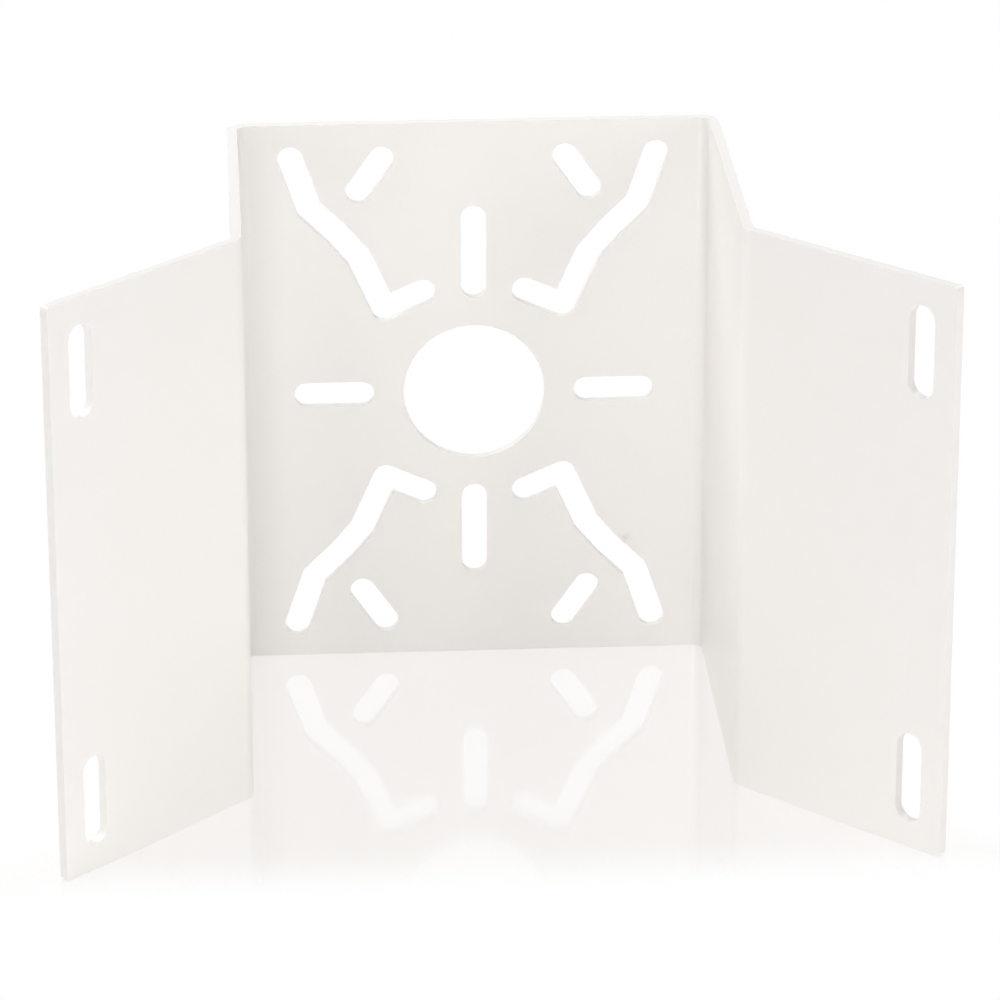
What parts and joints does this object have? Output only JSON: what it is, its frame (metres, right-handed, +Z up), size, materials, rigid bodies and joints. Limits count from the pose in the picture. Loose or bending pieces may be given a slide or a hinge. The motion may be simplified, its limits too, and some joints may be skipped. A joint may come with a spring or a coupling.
{
  "type": "camera corner mount bracket",
  "caption": "Folded sheet metal bracket that holds a security camera on the outside corner of a building, with a slotted face plate, side walls and angled wings.",
  "frame": {"origin": "centre of the bottom of the bounding box, on the surface that the lower edges stand on", "axes": "+Z up along the folds, +Y out through the face plate away from the building's corner, +X across the face plate"},
  "size_m": [0.2572, 0.1614, 0.176],
  "materials": {
    "powder_coated_steel": "smooth warm white powder coat, satin to semi-gloss"
  },
  "bodies": {
    "root": {"corner_bracket": "powder_coated_steel"}
  },
  "joints": []
}
